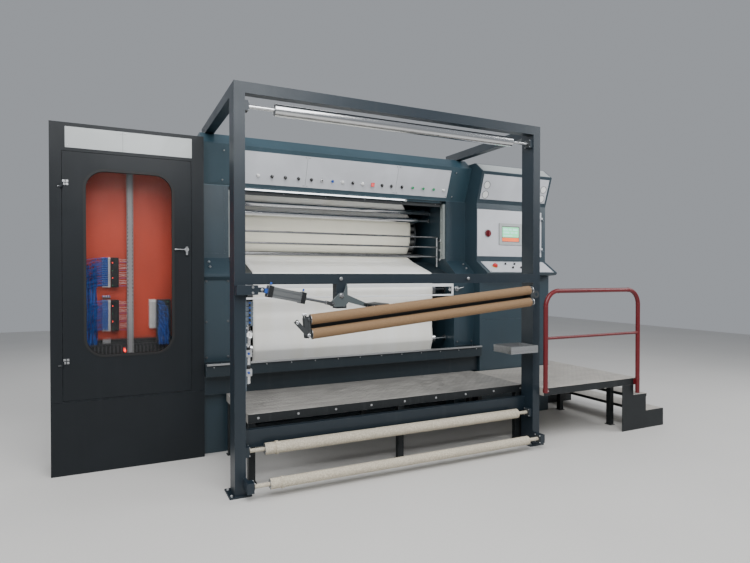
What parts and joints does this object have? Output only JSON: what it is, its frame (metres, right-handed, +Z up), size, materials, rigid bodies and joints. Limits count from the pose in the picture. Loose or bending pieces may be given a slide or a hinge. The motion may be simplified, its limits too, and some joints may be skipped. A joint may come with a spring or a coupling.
{
  "type": "fabric raising machine",
  "caption": "Textile raising machine with a roller drum, cloth path, front gantry with a pneumatic cloth guider, control beam, electrical cabinet, decks, stair and handrail.",
  "frame": {"origin": "floor, under the middle of the machine's bounding box", "axes": "+X across the cloth to the operator's right, +Y into the machine, +Z up"},
  "size_m": [5.74, 3.2869, 2.987],
  "materials": {
    "dark_teal_paint": "semi-gloss dark teal enamel",
    "grey_panel": "light grey powder coat",
    "orange_plate": "orange enamel",
    "switch_grey": "moulded plastic",
    "cloth": "cream woven cloth",
    "cork_cover": "cork-rubber roller cover",
    "beige_tube": "beige enamel, worn",
    "chrome_tube": "polished",
    "bright_steel": "machined",
    "worker_wire": "card wire",
    "cast_dark": "dark machinery paint",
    "cylinder_alu": "anodised profile",
    "safety_alu": "brushed",
    "deck_plate": "worn chequer plate",
    "side_deck_plate": "worn plate",
    "stair_dark": "dark enamel",
    "rail_red": "red enamel",
    "lamp_white": "opal diffuser",
    "valve_blue": "blue-grey",
    "smoked_pane": "smoked",
    "black_rubber": "matt",
    "black_plastic": "satin",
    "screen_frame": "satin bezel",
    "red_plastic": "gloss",
    "dark_red_plastic": "gloss",
    "blue_plastic": "gloss",
    "green_plastic": "gloss"
  },
  "bodies": {
    "machine": {"electrical_cabinet": "dark_teal_paint", "mounting_plate": "orange_plate", "switchgear": "switch_grey", "left_side_frame": "dark_teal_paint", "right_side_frame": "dark_teal_paint", "left_drive_cover": "dark_teal_paint", "drive_housing": "dark_teal_paint", "desk_plate": "grey_panel", "control_beam": "dark_teal_paint", "control_panel": "grey_panel", "rear_cover": "dark_teal_paint", "machine_bed": "dark_teal_paint", "front_trough": "dark_teal_paint", "gantry_frame": "dark_teal_paint", "main_deck": "deck_plate", "side_deck": "side_deck_plate", "stair": "stair_dark", "handrail": "rail_red", "guard_rails": "bright_steel", "light_strip": "lamp_white", "cloth_web": "cloth", "valve_panel": "valve_blue", "parts_tray": "switch_grey"},
    "cabinet_door": {"cabinet_door": "dark_teal_paint", "door_window": "smoked_pane", "window_seal": "black_rubber"},
    "door_lock": {"door_lock": "black_plastic"},
    "housing_door": {"housing_door": "grey_panel", "touch_screen": "screen_frame"},
    "main_switch": {"main_switch": "dark_red_plastic"},
    "emergency_stop": {"emergency_stop": "red_plastic"},
    "drum": {"raising_drum": "cast_dark", "worker_rollers": "worker_wire"},
    "guider": {"guider_frame": "cast_dark"},
    "chrome_roller": {"chrome_roller": "chrome_tube"},
    "upper_delivery_roller": {"upper_delivery_roller": "cast_dark"},
    "lower_delivery_roller": {"lower_delivery_roller": "bright_steel"},
    "overhead_roller": {"overhead_roller": "chrome_tube"},
    "front_guide_roller": {"front_guide_roller": "beige_tube"},
    "rear_guide_roller": {"rear_guide_roller": "beige_tube"},
    "upper_guider_roller": {"upper_guider_roller": "cork_cover"},
    "lower_guider_roller": {"lower_guider_roller": "cork_cover"},
    "cylinder_barrel": {"cylinder_barrel": "cylinder_alu"},
    "cylinder_rod": {"cylinder_rod": "bright_steel"},
    "bell_crank": {"bell_crank": "bright_steel"},
    "safety_frame": {"safety_frame": "safety_alu"},
    "selector_1": {"selector_1": "black_plastic"},
    "selector_2": {"selector_2": "black_plastic"},
    "selector_3": {"selector_3": "black_plastic"},
    "selector_4": {"selector_4": "black_plastic"},
    "selector_5": {"selector_5": "black_plastic"},
    "selector_6": {"selector_6": "black_plastic"},
    "selector_7": {"selector_7": "black_plastic"},
    "selector_8": {"selector_8": "black_plastic"},
    "ring_button": {"ring_button": "bright_steel"},
    "blue_button": {"blue_button": "blue_plastic"},
    "red_button": {"red_button": "red_plastic"},
    "green_button_1": {"green_button_1": "green_plastic"},
    "green_button_2": {"green_button_2": "green_plastic"},
    "green_button_3": {"green_button_3": "green_plastic"}
  },
  "joints": [
    {"name": "cabinet_door_hinge", "type": "hinge", "parent": "machine", "child": "cabinet_door", "pos_m": [-2.7845, -0.235, 1.59], "axis": [0, 0, -1], "range_deg": [0, 110]},
    {"name": "door_lock_turn", "type": "hinge", "parent": "cabinet_door", "child": "door_lock", "pos_m": [-1.845, -0.2265, 1.82], "axis": [0, 1, 0], "range_deg": [0, 90]},
    {"name": "housing_door_hinge", "type": "hinge", "parent": "machine", "child": "housing_door", "pos_m": [2.1815, -0.215, 2.075], "axis": [0, 0, 1], "range_deg": [0, 100]},
    {"name": "main_switch_turn", "type": "hinge", "parent": "housing_door", "child": "main_switch", "pos_m": [1.395, -0.2065, 2.07], "axis": [0, 1, 0], "range_deg": [0, 90]},
    {"name": "emergency_stop_push", "type": "slide", "parent": "machine", "child": "emergency_stop", "axis": [0, 0.5488, -0.8359], "range_m": [0, 0.006], "stiffness_N_per_m": 800, "springref_m": -0.004},
    {"name": "drum_spin", "type": "hinge", "parent": "machine", "child": "drum", "pos_m": [-0.23, 0.7935, 2.07], "axis": [1, 0, 0], "continuous": true},
    {"name": "chrome_roller_spin", "type": "hinge", "parent": "machine", "child": "chrome_roller", "pos_m": [-0.23, 0.3935, 2.24], "axis": [1, 0, 0], "continuous": true},
    {"name": "upper_delivery_spin", "type": "hinge", "parent": "machine", "child": "upper_delivery_roller", "pos_m": [-0.23, 0.0535, 1.44], "axis": [1, 0, 0], "continuous": true},
    {"name": "lower_delivery_spin", "type": "hinge", "parent": "machine", "child": "lower_delivery_roller", "pos_m": [-0.23, 0.0235, 0.89], "axis": [1, 0, 0], "continuous": true},
    {"name": "overhead_roller_spin", "type": "hinge", "parent": "machine", "child": "overhead_roller", "pos_m": [-0.23, -1.2065, 2.825], "axis": [1, 0, 0], "continuous": true},
    {"name": "front_guide_spin", "type": "hinge", "parent": "machine", "child": "front_guide_roller", "pos_m": [-0.23, -1.3565, 0.1], "axis": [1, 0, 0], "continuous": true},
    {"name": "rear_guide_spin", "type": "hinge", "parent": "machine", "child": "rear_guide_roller", "pos_m": [-0.23, -1.2065, 0.31], "axis": [1, 0, 0], "continuous": true},
    {"name": "guider_tilt", "type": "hinge", "parent": "machine", "child": "guider", "pos_m": [0.87, -1.5365, 1.432], "axis": [0, 1, 0], "range_deg": [0, 5.2]},
    {"name": "upper_guider_spin", "type": "hinge", "parent": "guider", "child": "upper_guider_roller", "pos_m": [-0.22796, -1.6065, 1.38113], "axis": [0.9958, 0, 0.0917], "continuous": true},
    {"name": "lower_guider_spin", "type": "hinge", "parent": "guider", "child": "lower_guider_roller", "pos_m": [-0.21879, -1.6065, 1.28155], "axis": [0.9958, 0, 0.0917], "continuous": true},
    {"name": "bell_crank_turn", "type": "hinge", "parent": "machine", "child": "bell_crank", "pos_m": [-0.838, -1.2865, 1.44], "axis": [0, -1, 0], "range_deg": [0, 31.3]},
    {"name": "cylinder_swing", "type": "hinge", "parent": "machine", "child": "cylinder_barrel", "pos_m": [-1.462, -1.2865, 1.492], "axis": [0, 1, 0], "range_deg": [0, 2.02]},
    {"name": "rod_slide", "type": "slide", "parent": "cylinder_barrel", "child": "cylinder_rod", "axis": [0.9794, 0, -0.202], "range_m": [0, 0.0485]},
    {"name": "safety_frame_tilt", "type": "hinge", "parent": "machine", "child": "safety_frame", "pos_m": [-0.23, -0.1265, 1.441], "axis": [-1, 0, 0], "range_deg": [0, 25]},
    {"name": "selector_1_turn", "type": "hinge", "parent": "machine", "child": "selector_1", "pos_m": [-1.038, -0.02696, 2.54779], "axis": [0, 0.9379, 0.3469], "range_deg": [-45, 45]},
    {"name": "selector_2_turn", "type": "hinge", "parent": "machine", "child": "selector_2", "pos_m": [-0.905, -0.02696, 2.54779], "axis": [0, 0.9379, 0.3469], "range_deg": [-45, 45]},
    {"name": "selector_3_turn", "type": "hinge", "parent": "machine", "child": "selector_3", "pos_m": [-0.772, -0.02696, 2.54779], "axis": [0, 0.9379, 0.3469], "range_deg": [-45, 45]},
    {"name": "selector_4_turn", "type": "hinge", "parent": "machine", "child": "selector_4", "pos_m": [-0.639, -0.02696, 2.54779], "axis": [0, 0.9379, 0.3469], "range_deg": [-45, 45]},
    {"name": "selector_5_turn", "type": "hinge", "parent": "machine", "child": "selector_5", "pos_m": [-0.191, -0.02696, 2.54779], "axis": [0, 0.9379, 0.3469], "range_deg": [-45, 45]},
    {"name": "selector_6_turn", "type": "hinge", "parent": "machine", "child": "selector_6", "pos_m": [0.145, -0.02696, 2.54779], "axis": [0, 0.9379, 0.3469], "range_deg": [-45, 45]},
    {"name": "selector_7_turn", "type": "hinge", "parent": "machine", "child": "selector_7", "pos_m": [0.257, -0.02696, 2.54779], "axis": [0, 0.9379, 0.3469], "range_deg": [-45, 45]},
    {"name": "selector_8_turn", "type": "hinge", "parent": "machine", "child": "selector_8", "pos_m": [0.384, -0.02696, 2.54779], "axis": [0, 0.9379, 0.3469], "range_deg": [-45, 45]},
    {"name": "ring_button_push", "type": "slide", "parent": "machine", "child": "ring_button", "axis": [0, 0.9379, 0.3469], "range_m": [0, 0.004], "stiffness_N_per_m": 300, "springref_m": -0.003},
    {"name": "blue_button_push", "type": "slide", "parent": "machine", "child": "blue_button", "axis": [0, 0.9379, 0.3469], "range_m": [0, 0.004], "stiffness_N_per_m": 300, "springref_m": -0.003},
    {"name": "red_button_push", "type": "slide", "parent": "machine", "child": "red_button", "axis": [0, 0.9379, 0.3469], "range_m": [0, 0.004], "stiffness_N_per_m": 300, "springref_m": -0.003},
    {"name": "green_button_1_push", "type": "slide", "parent": "machine", "child": "green_button_1", "axis": [0, 0.9379, 0.3469], "range_m": [0, 0.004], "stiffness_N_per_m": 300, "springref_m": -0.003},
    {"name": "green_button_2_push", "type": "slide", "parent": "machine", "child": "green_button_2", "axis": [0, 0.9379, 0.3469], "range_m": [0, 0.004], "stiffness_N_per_m": 300, "springref_m": -0.003},
    {"name": "green_button_3_push", "type": "slide", "parent": "machine", "child": "green_button_3", "axis": [0, 0.9379, 0.3469], "range_m": [0, 0.004], "stiffness_N_per_m": 300, "springref_m": -0.003}
  ],
  "couplings": [
    {"joint": "bell_crank_turn", "follows": "guider_tilt", "ratio": 6},
    {"joint": "cylinder_swing", "follows": "guider_tilt", "ratio": 0.3866},
    {"joint": "rod_slide", "follows": "guider_tilt", "m_per_rad": 0.532}
  ]
}
